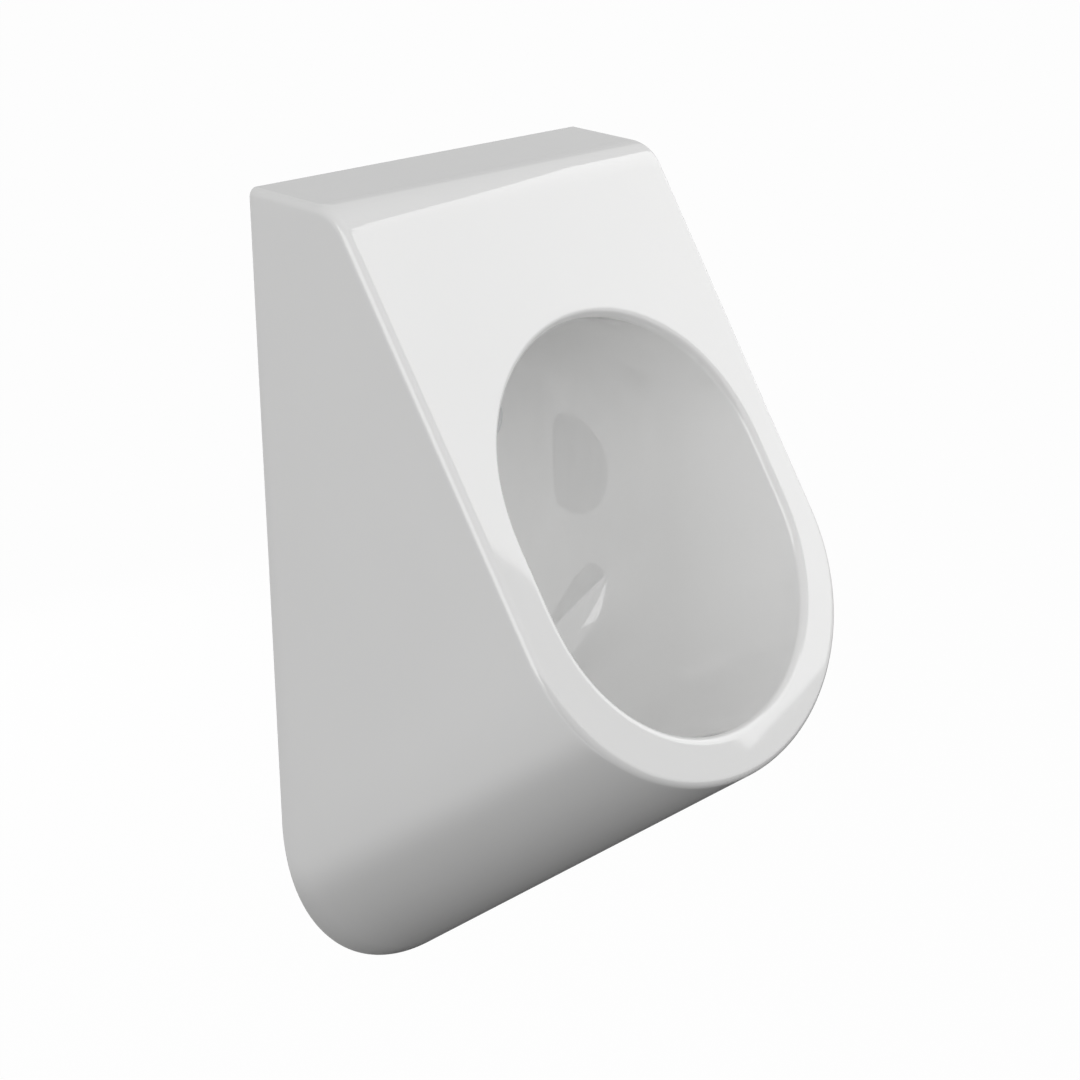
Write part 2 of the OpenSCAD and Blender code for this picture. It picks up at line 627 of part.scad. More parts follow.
module hanger() difference() {
    translate([0, 0, hook_h - outlet_h]) {
        translate([0, 0, hanger_w / 2 - hanger_h]) rotate([90, 0, 0])
            cylinder(r = hanger_w / 2, h = hanger_t);
        translate([-hanger_w / 2, -hanger_t, hanger_w / 2 - hanger_h])
            cube([hanger_w, hanger_t, hanger_h - hanger_w / 2]);
        translate([-hanger_w / 2, -hook_reach, -hanger_t]) cube([hanger_w, hook_reach, hanger_t]);
        translate([-hanger_w / 2, -hook_reach, -hanger_t]) cube([hanger_w, hanger_t, hanger_t + hook_up]);
    }
    to_wall(hanger_t + over, hook_h - screw_drop) cylinder(r = screw_r + seat_gap, h = hanger_t + 2 * over);
}
module left_hanger() color([0.62, 0.64, 0.67]) translate([-hanger_pitch / 2, 0, 0]) hanger();
module right_hanger() color([0.62, 0.64, 0.67]) translate([hanger_pitch / 2, 0, 0]) hanger();

module hanger_pads() color([0.2, 0.2, 0.2])
    each_hanger() translate([-hanger_w / 2, hanger_t - hook_reach, hook_h - outlet_h]) {
        cube([hanger_w, flange_t + pad_t - grip_gap, pad_t]);
        cube([hanger_w, pad_t - grip_gap, hook_up]);
    }

module hanger_washers() color([0.75, 0.76, 0.78]) each_hanger()
    to_wall(hanger_t + washer_t, hook_h - screw_drop) tube(washer_r, screw_r + seat_gap, washer_t);

module hanger_screws() color([0.75, 0.76, 0.78]) each_hanger()
    to_wall(hanger_t + washer_t, hook_h - screw_drop) {
        translate([0, 0, -screw_head_t]) cylinder(r = screw_head_r, h = screw_head_t, $fn = 6);
        translate([0, 0, -over])
            cylinder(r = screw_r, h = over + washer_t + hanger_t + plug_len - plug_end - grip_gap);
    }

module wall_plugs() color([0.55, 0.57, 0.6]) each_hanger() to_wall(0, hook_h - screw_drop) difference() {
    cylinder(r = plug_r, h = plug_len);
    translate([0, 0, -over]) cylinder(r = screw_r + grip_gap, h = plug_len - plug_end + over);
}

ceramic_body();
drain_ring();
drain_ring_seal();
housing_seal();
trap_housing();
trap_cartridge();
trap_bell();
cartridge_o_rings();
strainer();
strainer_ring();
outlet_nut();
outlet_seal();
waste_pipe();
inlet_spud();
inlet_front_seal();
inlet_back_seal();
inlet_washer();
inlet_nut();
inlet_filter();
spreader();
left_hanger();
right_hanger();
hanger_pads();
hanger_washers();
hanger_screws();
wall_plugs();
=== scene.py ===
# Wall hung urinal: the smooth glazed china body, materials, light and camera on the CAD frame
import json
import math

import bmesh
import bpy
from mathutils import Matrix, Vector


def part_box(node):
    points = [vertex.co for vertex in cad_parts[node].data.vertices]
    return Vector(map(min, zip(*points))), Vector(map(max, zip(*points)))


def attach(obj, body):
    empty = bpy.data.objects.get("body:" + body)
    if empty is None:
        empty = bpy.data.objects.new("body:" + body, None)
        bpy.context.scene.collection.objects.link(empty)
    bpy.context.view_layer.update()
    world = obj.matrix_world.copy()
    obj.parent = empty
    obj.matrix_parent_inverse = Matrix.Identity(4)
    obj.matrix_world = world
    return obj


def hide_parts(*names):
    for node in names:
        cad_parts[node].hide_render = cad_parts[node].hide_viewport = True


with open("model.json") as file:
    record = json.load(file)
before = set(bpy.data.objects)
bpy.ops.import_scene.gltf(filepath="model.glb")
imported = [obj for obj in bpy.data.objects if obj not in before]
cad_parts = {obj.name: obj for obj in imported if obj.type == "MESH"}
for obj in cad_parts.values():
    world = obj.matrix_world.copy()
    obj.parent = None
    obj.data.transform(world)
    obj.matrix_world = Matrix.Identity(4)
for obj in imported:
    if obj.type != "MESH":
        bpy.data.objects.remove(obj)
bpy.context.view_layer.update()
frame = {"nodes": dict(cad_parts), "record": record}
mm = 0.001
print("frame loaded:", len(frame["nodes"]), "nodes")


# The china's sizes in millimetres and degrees.
# A point is across, depth in front of the wall and height above the bottom
china = {
    "width": 350,
    "height": 615,
    "topDepth": 67,
    "topFall": 5.7,
    "frontSlant": 30,
    "underRise": 39.3,
    "topRound": 32,
    "edgeRound": 5.5,
    "wallRound": 1.6,
    "shellWall": 12,
    "openingWidth": 281,
    "openingLength": 294,
    "openingDrop": 89,
    "rimRound": 6,
    "bowlWall": 11,
    "bowlBack": 38,
    "backWidth": 274,
    "backHeight": 359,
    "backSag": 60,
    "cornerLength": 56,
    "sideLength": 84,
    "floorLength": 160,
    "flange": 12,
    "openWidth": 236,
    "openLow": 62,
    "openDrop": 118,
    "squareX": 0.133,
    "squareZ": 0.115,
    "cornerSpread": 0.3,
}

topFall = math.radians(china["topFall"])
frontSlant = math.radians(china["frontSlant"])
underRise = math.radians(china["underRise"])
halfWidth = china["width"] / 2
edgeRound = china["edgeRound"]
shellWall = china["shellWall"]
rimRound = china["rimRound"]

# The front in the middle section: top face, round, slanted face
turn = math.pi / 2 - frontSlant - topFall
tangent = china["topRound"] * math.tan(turn / 2)
meetDepth = china["topDepth"] / (1 - math.tan(topFall) * math.tan(frontSlant))
meetHeight = china["height"] - meetDepth * math.tan(topFall)
topLength = meetDepth / math.cos(topFall) - tangent
arcLength = china["topRound"] * turn
faceStart = topLength + arcLength
faceDepth = meetDepth + tangent * math.sin(frontSlant)
faceHeight = meetHeight - tangent * math.cos(frontSlant)
roundDepth = topLength * math.cos(topFall) - china["topRound"] * math.sin(topFall)
topEnd = china["height"] - topLength * math.sin(topFall)
roundHeight = topEnd - china["topRound"] * math.cos(topFall)
faceNormal = Vector((0, math.cos(frontSlant), math.sin(frontSlant)))
facePoint = Vector((0, faceDepth, faceHeight))
faceUp = Vector((0, -math.sin(frontSlant), math.cos(frontSlant)))
underWay = Vector((0, math.cos(underRise), math.sin(underRise)))
openingMiddle = china["openingDrop"] + china["openingLength"] / 2
backMiddle = faceHeight - openingMiddle * math.cos(frontSlant) - china["backSag"]
bowlPole = Vector((0, china["bowlBack"], backMiddle))
innerRound = shellWall / 3


def mix(a, b, t):
    return a + (b - a) * t


def turnFrom(a, b, t):
    # turns unit vector a towards unit vector b by share t
    w = math.acos(max(-1, min(1, a.dot(b))))
    if w < 1e-6:
        return a.copy()
    return (math.sin((1 - t) * w) * a + math.sin(t * w) * b) / math.sin(w)


def conic(a, m, b, t):
    # round arc from a to b with its corner at m
    cosine = (a - m).normalized().dot((b - m).normalized())
    w = math.sin(math.acos(max(-1, min(1, cosine))) / 2)
    blend = a * (1 - t) ** 2 + m * 2 * w * t * (1 - t) + b * t**2
    return blend / ((1 - t) ** 2 + 2 * w * t * (1 - t) + t**2)


def onFace(down):
    # depth and height on the slanted face at distance down from the end of the round
    return faceDepth + down * math.sin(frontSlant), faceHeight - down * math.cos(frontSlant)


def sheetAt(v):
    # depth, height and tilt of the front sheet at distance v from the wall
    if v < topLength:
        return v * math.cos(topFall), china["height"] - v * math.sin(topFall), topFall
    if v < faceStart:
        a = topFall + (v - topLength) / china["topRound"]
        r = china["topRound"]
        return roundDepth + r * math.sin(a), roundHeight + r * math.cos(a), a
    return *onFace(v - faceStart), math.pi / 2 - frontSlant


def edgeFall(c, r):
    return r * (1 - math.sin(math.pi / 2 * min(c, 1)))


def skin(v, c, inset=0, r=edgeRound):
    # c runs from 0 at the side over 1 at the end of the round edge to 2 in the middle
    depth, height, tilt = sheetAt(v)
    x = halfWidth - inset - r
    off = inset + edgeFall(c, r)
    across = x * (2 - c) if c > 1 else x + r * math.cos(math.pi / 2 * c)
    return Vector((across, depth - off * math.sin(tilt), height - off * math.cos(tilt)))


def alongSkin(depth, c, inset=0, r=edgeRound):
    return (depth + (inset + edgeFall(c, r)) * math.sin(topFall)) / math.cos(topFall)


def underNormal(t):
    across = math.cos(underRise) * math.sin(t)
    n = Vector((across, math.sin(underRise) * math.cos(t), -math.cos(underRise) * math.cos(t)))
    return n.normalized()


def underEdge(t, inset=0):
    outline = Vector((halfWidth * math.sin(t), 0, halfWidth - halfWidth * math.cos(t)))
    return outline - inset * underNormal(t)


def underPoint(t, inset, off):
    q = underEdge(t, inset)
    return q + underWay * ((-off - faceNormal.dot(q - facePoint)) / faceNormal.dot(underWay))


def underAt(t, inset, depth):
    q = underEdge(t, inset)
    return q + underWay * ((depth - q.y) / underWay.y)


def underRound(t, f):
    return underPoint(t, edgeRound, edgeRound) + edgeRound * turnFrom(underNormal(t), faceNormal, f)


sideStart = faceStart + (faceHeight - underRound(math.pi / 2, 1).z) / math.cos(frontSlant)


# How many rails run from the wall to the opening over half of the outline
rails = {"under": 58, "side": 20, "arc": 9, "corner": 10, "top": 24}


def railList():
    # kind, angle or share up the side, start and end along the sheet, start and end across the edge
    made = []
    spread = rails["arc"] + rails["corner"] + 1
    sideAll = rails["side"] + rails["arc"] + 1
    for i in range(rails["under"] + 1):
        made.append((0, math.pi / 2 * i / rails["under"], 0, 0, 0, 0))
    for i in range(1, rails["side"] + 1):
        v = mix(sideStart, faceStart, i / rails["side"])
        made.append((1, i / sideAll, v, 0, v, 1))
    for i in range(1, rails["arc"] + 1):
        v = faceStart - arcLength * i / (rails["arc"] + 1)
        end = 1 + china["cornerSpread"] * i / spread
        made.append((1, (rails["side"] + i) / sideAll, v, 0, faceStart, end))
    for i in range(rails["corner"] + 1):
        end = 1 + china["cornerSpread"] * (rails["arc"] + 1 + i) / spread
        made.append((2, 0, topLength, i / rails["corner"], faceStart, end))
    for i in range(1, rails["top"] + 1):
        end = mix(1 + china["cornerSpread"], 2, i / rails["top"])
        made.append((2, 0, topLength, 1 + i / rails["top"], faceStart, end))
    return made


def atWall(q):
    if q[0] == 0:
        return underEdge(q[1])
    if q[0] == 1:
        top = skin(alongSkin(0, 0), 0).z
        return Vector((halfWidth, 0, mix(halfWidth, top, q[1])))
    return skin(alongSkin(0, q[3]), q[3])


def atEdge(q, f):
    if q[0] == 0:
        return underRound(q[1], f)
    return skin(mix(q[2], q[4], f), mix(q[3], q[5], f))


def flangeSkin(c):
    v = alongSkin(china["flange"], c, shellWall, innerRound)
    return skin(v, c, shellWall, innerRound)


def atFlange(q):
    if q[0] == 0:
        return underAt(q[1], shellWall, china["flange"])
    if q[0] == 1:
        low = underAt(math.pi / 2, shellWall, china["flange"]).z
        return Vector((halfWidth - shellWall, china["flange"], mix(low, flangeSkin(0).z, q[1])))
    return flangeSkin(q[3])


def atHollow(q, f):
    if q[0] == 0:
        return underPoint(q[1], shellWall + f * innerRound, shellWall + (1 - f) * innerRound)
    return skin(mix(q[2], q[4], f), mix(q[3], q[5], f), shellWall, innerRound)


def oblong(p, a, b):
    x = a * ((1 + china["squareX"]) * math.sin(p) + china["squareX"] * math.sin(3 * p))
    z = b * ((1 - china["squareZ"]) * math.cos(p) + china["squareZ"] * math.cos(3 * p))
    return x, z


def oblongNormal(p, a, b):
    x = b * ((1 - china["squareZ"]) * math.sin(p) + 3 * china["squareZ"] * math.sin(3 * p))
    z = a * ((1 + china["squareX"]) * math.cos(p) + 3 * china["squareX"] * math.cos(3 * p))
    return Vector((x, 0, z)).normalized()


def railAngle(q):
    e = atEdge(q, 1)
    down = (faceHeight - e.z) / math.cos(frontSlant)
    return math.atan2(e.x / china["openingWidth"], (openingMiddle - down) / china["openingLength"])


def rim(p):
    u, v = oblong(p, china["openingWidth"] / 2, china["openingLength"] / 2)
    return Vector((u, *onFace(openingMiddle - v)))


def rimOut(p):
    n = oblongNormal(p, china["openingWidth"] / 2, china["openingLength"] / 2)
    return Vector((n.x, 0, 0)) + n.z * faceUp


def bowlCorner(p):
    x, z = oblong(p, china["backWidth"] / 2, china["backHeight"] / 2)
    return Vector((x, china["bowlBack"], backMiddle + z))


def roll(p, f):
    # the rolled rim, from the slanted face at f 0 to the bowl's side at f 1
    way = (bowlCorner(p) - rim(p)).normalized()
    a = math.atan2(-way.dot(rimOut(p)), -way.dot(faceNormal))
    end = -rimOut(p) * math.cos(a) + faceNormal * math.sin(a)
    return rim(p) + rimRound * (rimOut(p) - faceNormal + turnFrom(faceNormal, end, f))


def bowl(p, s):
    # 0 at the rim, 1 and 2 at the ends of the soft corner, 3 at the pole in the middle of the back
    c = bowlCorner(p)
    r = roll(p, 1)
    sideShare = 1 - math.cos(p) ** 4
    b = c + mix(china["cornerLength"], china["sideLength"], sideShare) * (bowlPole - c).normalized()
    straight = china["floorLength"] if math.cos(p) < 0 else china["cornerLength"]
    a = c + mix(straight, china["sideLength"], sideShare) * (r - c).normalized()
    if s < 1:
        return mix(r, a, s)
    if s < 2:
        return conic(a, c, b, s - 1)
    return mix(b, bowlPole, s - 2)


def bowlOut(p, s):
    step = 0.008
    across = bowl(p + step, s) - bowl(p - step, s)
    along = bowl(p, s + step) - bowl(p, s - step)
    return bowl(p, s) - china["bowlWall"] * across.cross(along).normalized()


def backEdge(p, depth):
    top = china["height"] - china["openDrop"]
    x, z = oblong(p, china["openWidth"] / 2, (top - china["openLow"]) / 2)
    return Vector((x, depth, (top + china["openLow"]) / 2 + z))


def wallRound(q, p, f):
    # the small round where the outer skin meets the wall plane
    m = atWall(q)
    r = china["wallRound"]
    toEdge = r * (atEdge(q, 0) - m).normalized()
    toBack = r * (backEdge(p, 0) - m).normalized()
    return conic(m + toEdge, m, m + toBack, f)


def shares(start, end, count):
    return [mix(start, end, i / count) for i in range(count + 1)]


def ringList():
    # from the pole of the bowl over rim, front, side and back to the pole of the bowl's hidden side
    made = [("bowl", s) for s in (2.97, 2.9, 2.8, 2.65, 2.5, 2.35, 2.2, 2.1, 2.04)]
    made += [("bowl", s) for s in shares(2, 1, 28)]
    made += [("bowl", s) for s in (0.97, 0.9, 0.8, 0.68, 0.55, 0.42, 0.3, 0.2, 0.12, 0.06, 0.02)]
    made += [("roll", f) for f in shares(1, 0, 9)]
    made += [("face", f) for f in (0.03, 0.25, 0.5, 0.75, 0.97)]
    made += [("edge", f) for f in shares(1, 0, 9)]
    made += [("side", f) for f in (0.01, 0.06, 0.2, 0.4, 0.6, 0.8, 0.94)]
    made += [("wall", f) for f in shares(0, 1, 4)]
    made += [("back", f) for f in (0.04, 0.5, 0.97)]
    made += [("open", 0), ("open", china["flange"]), ("flange", 0), ("hollow", 0), ("hollow", 1)]
    made += [("hidden", s) for s in (0.08, 0.3, 0.6, 0.9, 1, 1.15, 1.3, 1.45)]
    made += [("hidden", s) for s in (1.6, 1.75, 1.9, 2, 2.2, 2.5, 2.8, 2.95)]
    return made


def onRing(q, p, kind, f):
    if kind == "bowl":
        return bowl(p, f)
    if kind == "roll":
        return roll(p, f)
    if kind == "face":
        return mix(roll(p, 0), atEdge(q, 1), f)
    if kind == "edge":
        return atEdge(q, f)
    if kind == "side":
        return mix(atEdge(q, 0), wallRound(q, p, 0), f)
    if kind == "wall":
        return wallRound(q, p, f)
    if kind == "back":
        return mix(wallRound(q, p, 1), backEdge(p, 0), f)
    if kind == "open":
        return backEdge(p, f)
    if kind == "flange":
        return atFlange(q)
    if kind == "hollow":
        return atHollow(q, f)
    return bowlOut(p, f)


# The drain, the inlet and the hook windows cut through the china, in millimetres
cuts = {
    "drainDepth": 88,
    "seatRise": 36.5,
    "seatThick": 12,
    "seatRadius": 38,
    "holeRadius": 33,
    "bossWall": 8.4,
    "bossUp": 6.6,
    "inletDrop": 76,
    "inletRadius": 12,
    "hookPitch": 190,
    "hookDrop": 45,
    "hookWidth": 42,
    "hookHeight": 68,
    "padThick": 2,
}
seatHeight = backMiddle - china["backHeight"] / 2 + cuts["seatRise"]
inletHeight = backMiddle + china["backHeight"] / 2 - cuts["inletDrop"]
outletHeight = -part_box("ceramic_body")[0].z / mm
sharpAngle = math.radians(32)
gridJoin = 0.00001
cutJoin = 0.00005


def toFrame(q):
    return Vector((q.x, -q.y, q.z - outletHeight)) * mm


def finishMesh(bm, name):
    bmesh.ops.recalc_face_normals(bm, faces=bm.faces)
    mesh = bpy.data.meshes.new(name)
    bm.to_mesh(mesh)
    bm.free()
    mesh.shade_smooth()
    mesh.set_sharp_from_angle(angle=sharpAngle)
    piece = bpy.data.objects.new(name, mesh)
    bpy.context.scene.collection.objects.link(piece)
    return piece


def cylinderMesh(bm, radius, length, start, axis, segments=128):
    # a closed cylinder from start along axis, sizes in millimetres
    r = radius * mm
    made = bmesh.ops.create_cone(
        bm,
        cap_ends=True,
        cap_tris=False,
        segments=segments,
        radius1=r,
        radius2=r,
        depth=length * mm,
    )
    spin = Vector((0, 0, 1)).rotation_difference(axis).to_matrix()
    bmesh.ops.rotate(bm, verts=made["verts"], cent=(0, 0, 0), matrix=spin)
    bmesh.ops.translate(bm, verts=made["verts"], vec=toFrame(start) + axis * length * mm / 2)


def chinaShell():
    half = railList()
    angles = [railAngle(q) for q in half]
    around = 2 * len(half) - 2
    rings = ringList()
    bm = bmesh.new()
    bmesh.ops.create_grid(bm, x_segments=around, y_segments=len(rings) + 1, size=0.5)
    ringPoints = {}
    for v in bm.verts:
        i = round((v.co.x + 0.5) * around) % around
        k = round((v.co.y + 0.5) * (len(rings) + 1)) - 1
        if k < 0:
            v.co = toFrame(bowlPole)
        elif k >= len(rings):
            v.co = toFrame(bowlPole - Vector((0, china["bowlWall"], 0)))
        else:
            j = i if i < len(half) else around - i
            if (j, k) not in ringPoints:
                ringPoints[(j, k)] = onRing(half[j], angles[j], *rings[k])
            q = ringPoints[(j, k)].copy()
            if i != j:
                q.x = -q.x
            v.co = toFrame(q)
    bmesh.ops.remove_doubles(bm, verts=bm.verts, dist=gridJoin)
    return finishMesh(bm, "china_body")


def cutterMesh(name, build):
    bm = bmesh.new()
    build(bm)
    return finishMesh(bm, name)


def buildBoss(bm):
    start = Vector((0, cuts["drainDepth"], seatHeight - cuts["seatThick"]))
    radius = cuts["seatRadius"] + cuts["bossWall"]
    cylinderMesh(bm, radius, cuts["seatThick"] + cuts["bossUp"], start, Vector((0, 0, 1)))


def buildSeat(bm):
    start = Vector((0, cuts["drainDepth"], seatHeight))
    cylinderMesh(bm, cuts["seatRadius"], cuts["seatRadius"], start, Vector((0, 0, 1)))


def buildHoles(bm):
    start = Vector((0, cuts["drainDepth"], seatHeight - 2 * cuts["seatThick"]))
    cylinderMesh(bm, cuts["holeRadius"], 3 * cuts["seatThick"], start, Vector((0, 0, 1)))
    start = Vector((0, 2 * china["bowlBack"], inletHeight))
    cylinderMesh(bm, cuts["inletRadius"], 2 * china["bowlBack"], start, Vector((0, 1, 0)), 64)


def buildWindows(bm):
    for side in (-1, 1):
        made = bmesh.ops.create_cube(bm, size=1)
        size = Vector((cuts["hookWidth"], 3 * china["flange"], cuts["hookHeight"])) * mm
        bmesh.ops.scale(bm, verts=made["verts"], vec=size)
        top = china["height"] - cuts["hookDrop"] + cuts["padThick"]
        middle = Vector((side * cuts["hookPitch"] / 2, 0, top - cuts["hookHeight"] / 2))
        bmesh.ops.translate(bm, verts=made["verts"], vec=toFrame(middle))


def buildChina():
    piece = chinaShell()
    steps = [("boss", buildBoss, "UNION"), ("seat", buildSeat, "DIFFERENCE")]
    steps += [("holes", buildHoles, "DIFFERENCE"), ("windows", buildWindows, "DIFFERENCE")]
    cutters = []
    for name, build, operation in steps:
        cutter = cutterMesh(name, build)
        cutters.append(cutter)
        change = piece.modifiers.new(name, "BOOLEAN")
        change.operation = operation
        change.solver = "EXACT"
        change.object = cutter
    bpy.context.view_layer.update()
    cutPiece = piece.evaluated_get(bpy.context.evaluated_depsgraph_get())
    shaped = bpy.data.meshes.new_from_object(cutPiece)
    piece.modifiers.clear()
    for cutter in cutters:
        bpy.data.objects.remove(cutter)
    bm = bmesh.new()
    bm.from_mesh(shaped)
    bmesh.ops.remove_doubles(bm, verts=bm.verts, dist=cutJoin)
    bmesh.ops.dissolve_degenerate(bm, edges=bm.edges, dist=cutJoin)
    bm.to_mesh(piece.data)
    bm.free()
    piece.data.shade_smooth()
    piece.data.set_sharp_from_angle(angle=sharpAngle)
    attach(piece, "bowl")
    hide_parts("ceramic_body")
    return piece


# Materials. A noise runs from dark to light, or smooth to rough, over this part of its range
noiseLow, noiseHigh = 0.3, 0.7


def newMaterial(name, colour, roughness, metallic=0.0):
    material = bpy.data.materials.new(name)
    material.use_nodes = True
    shader = material.node_tree.nodes["Principled BSDF"]
    shader.inputs["Base Color"].default_value = (*colour, 1)
    shader.inputs["Roughness"].default_value = roughness
    shader.inputs["Metallic"].default_value = metallic
    return material, material.node_tree, shader


def addNoise(tree, scale, detail=2.0, stretch=(1, 1, 1)):
    place = tree.nodes.new("ShaderNodeTexCoord")
    mapping = tree.nodes.new("ShaderNodeMapping")
    mapping.inputs["Scale"].default_value = stretch
    noise = tree.nodes.new("ShaderNodeTexNoise")
    noise.inputs["Scale"].default_value = scale
    noise.inputs["Detail"].default_value = detail
    tree.links.new(place.outputs["Object"], mapping.inputs["Vector"])
    tree.links.new(mapping.outputs["Vector"], noise.inputs["Vector"])
    return noise


def noiseColour(tree, shader, noise, dark, light):
    ramp = tree.nodes.new("ShaderNodeValToRGB")
    ramp.color_ramp.elements[0].position = noiseLow
    ramp.color_ramp.elements[0].color = (*dark, 1)
    ramp.color_ramp.elements[1].position = noiseHigh
    ramp.color_ramp.elements[1].color = (*light, 1)
    tree.links.new(noise.outputs["Fac"], ramp.inputs["Fac"])
    tree.links.new(ramp.outputs["Color"], shader.inputs["Base Color"])


def noiseRoughness(tree, shader, noise, low, high):
    spread = tree.nodes.new("ShaderNodeMapRange")
    spread.inputs["From Min"].default_value = noiseLow
    spread.inputs["From Max"].default_value = noiseHigh
    spread.inputs["To Min"].default_value = low
    spread.inputs["To Max"].default_value = high
    tree.links.new(noise.outputs["Fac"], spread.inputs["Value"])
    tree.links.new(spread.outputs["Result"], shader.inputs["Roughness"])


def noiseBump(tree, shader, noise, height, strength=1.0, below=None):
    bump = tree.nodes.new("ShaderNodeBump")
    bump.inputs["Strength"].default_value = strength
    bump.inputs["Distance"].default_value = height
    tree.links.new(noise.outputs["Fac"], bump.inputs["Height"])
    if below:
        tree.links.new(below.outputs["Normal"], bump.inputs["Normal"])
    tree.links.new(bump.outputs["Normal"], shader.inputs["Normal"])
    return bump


glaze = {
    "colour": (0.935, 0.935, 0.93),
    "deep": (0.92, 0.92, 0.915),
    "gloss": 1.8,
    "roughness": (0.03, 0.05),
    "waves": 9,
    "waveDetail": 1.0,
    "waveHeight": 0.00012,
    "peel": 160,
    "peelDetail": 2.0,
    "peelHeight": 0.000004,
}


def chinaMaterial():
    material, tree, shader = newMaterial("white_glaze", glaze["colour"], glaze["roughness"][0])
    shader.inputs["IOR"].default_value = glaze["gloss"]
    waves = addNoise(tree, glaze["waves"], glaze["waveDetail"])
    noiseColour(tree, shader, waves, glaze["deep"], glaze["colour"])
    peel = addNoise(tree, glaze["peel"], glaze["peelDetail"])
    noiseRoughness(tree, shader, peel, *glaze["roughness"])
    slow = noiseBump(tree, shader, waves, glaze["waveHeight"])
    noiseBump(tree, shader, peel, glaze["peelHeight"], below=slow)
    return material


# Blotches shade the colour, grain varies the roughness and the surface. Heights in metres
plastic = {
    "blotch": 25,
    "shade": 0.94,
    "grain": 900,
    "height": 0.00003,
    "bump": 0.6,
    "less": 0.07,
    "more": 0.08,
}
rubber = {"blotch": 60, "shade": 0.7, "grain": 1400, "height": 0.00005, "bump": 0.7, "base": 0.7}
rubberRoughness = (0.6, 0.85)
metal = {"blotch": 40, "shade": 0.9, "grain": 500, "height": 0.00002, "bump": 0.5}
fineDetail = 3.0


def plasticMaterial(name, colour, roughness=0.42):
    material, tree, shader = newMaterial(name, colour, roughness)
    noise = addNoise(tree, plastic["grain"], fineDetail)
    darker = tuple(c * plastic["shade"] for c in colour)
    noiseColour(tree, shader, addNoise(tree, plastic["blotch"]), darker, colour)
    noiseRoughness(tree, shader, noise, roughness - plastic["less"], roughness + plastic["more"])
    noiseBump(tree, shader, noise, plastic["height"], plastic["bump"])
    return material


def rubberMaterial(name, colour):
    material, tree, shader = newMaterial(name, colour, rubber["base"])
    noise = addNoise(tree, rubber["grain"], fineDetail)
    darker = tuple(c * rubber["shade"] for c in colour)
    noiseColour(tree, shader, addNoise(tree, rubber["blotch"], fineDetail), darker, colour)
    noiseRoughness(tree, shader, noise, *rubberRoughness)
    noiseBump(tree, shader, noise, rubber["height"], rubber["bump"])
    return material


def metalMaterial(
    name, colour, low, high, stretch=(1, 1, 1), grain=metal["grain"], height=metal["height"]
):
    material, tree, shader = newMaterial(name, colour, low, metallic=1.0)
    noise = addNoise(tree, grain, fineDetail, stretch)
    darker = tuple(c * metal["shade"] for c in colour)
    noiseColour(tree, shader, addNoise(tree, metal["blotch"], fineDetail), darker, colour)
    noiseRoughness(tree, shader, noise, low, high)
    noiseBump(tree, shader, noise, height, metal["bump"])
    return material


def dressNodes(whiteGlaze):
    finishes = {
        "china": whiteGlaze,
        "trap_plastic": plasticMaterial("trap_plastic", (0.7, 0.71, 0.72)),
        "ring_plastic": plasticMaterial("ring_plastic", (0.48, 0.49, 0.51)),
        "cup_plastic": plasticMaterial("cup_plastic", (0.8, 0.8, 0.81), 0.35),
        "bell_plastic": plasticMaterial("bell_plastic", (0.06, 0.16, 0.36), 0.35),
        "pipe_plastic": plasticMaterial("pipe_plastic", (0.6, 0.61, 0.62), 0.38),
        "plug_plastic": plasticMaterial("plug_plastic", (0.28, 0.3, 0.33), 0.5),
        "seal_rubber": rubberMaterial("seal_rubber", (0.018, 0.018, 0.018)),
        "pad_rubber": rubberMaterial("pad_rubber", (0.04, 0.04, 0.04)),
        "strainer_steel": metalMaterial(
            "strainer_steel", (0.62, 0.62, 0.61), 0.2, 0.34, (1, 12, 1)
        ),
        "fixing_steel": metalMaterial("fixing_steel", (0.56, 0.58, 0.6), 0.28, 0.42),
        "hook_steel": metalMaterial(
            "hook_steel", (0.46, 0.48, 0.5), 0.4, 0.6, grain=120, height=0.00004
        ),
        "spud_brass": metalMaterial("spud_brass", (0.72, 0.5, 0.2), 0.22, 0.36, (6, 1, 6)),
        "spreader_chrome": metalMaterial(
            "spreader_chrome", (0.8, 0.81, 0.82), 0.05, 0.1, grain=60, height=0.000004
        ),
    }
    slots = {part["node"]: part["material_slot"] for part in frame["record"]["subparts"]}
    for name, node in frame["nodes"].items():
        node.data.materials.clear()
        node.data.materials.append(finishes[slots[name]])


# Light: a large soft box at the right front, a fill at the left and one behind.
# Sizes in metres, power in watts
lights = {
    "key": {
        "at": (1.711, -0.815, 1.065),
        "up": (-0.39, 0.198, 0.899),
        "size": (1.4, 1.4),
        "power": 7.8,
        "mirrored": True,
    },
    "fill": {
        "at": (-2.2, -0.6, 0.7),
        "up": (0, 0, 1),
        "size": (1.6, 2.0),
        "power": 15.4,
        "mirrored": True,
    },
    "back": {
        "at": (0.7, 2.3, 0.1),
        "up": (0, 0, 1),
        "size": (1.8, 1.2),
        "power": 24,
        "mirrored": False,
    },
}
room = {
    "aim": (0, -0.1, 0.16),
    "ambient": 0.506,
    "ambientSide": (0.023, -0.485, -0.144),
    "floorHeight": -0.75,
    "floorSize": 60,
    "floorWhite": 0.93,
    "floorGlow": 1.05,
    "floorBounce": (0.2, 0.2, 0.2, 1),
    "white": 1,
}


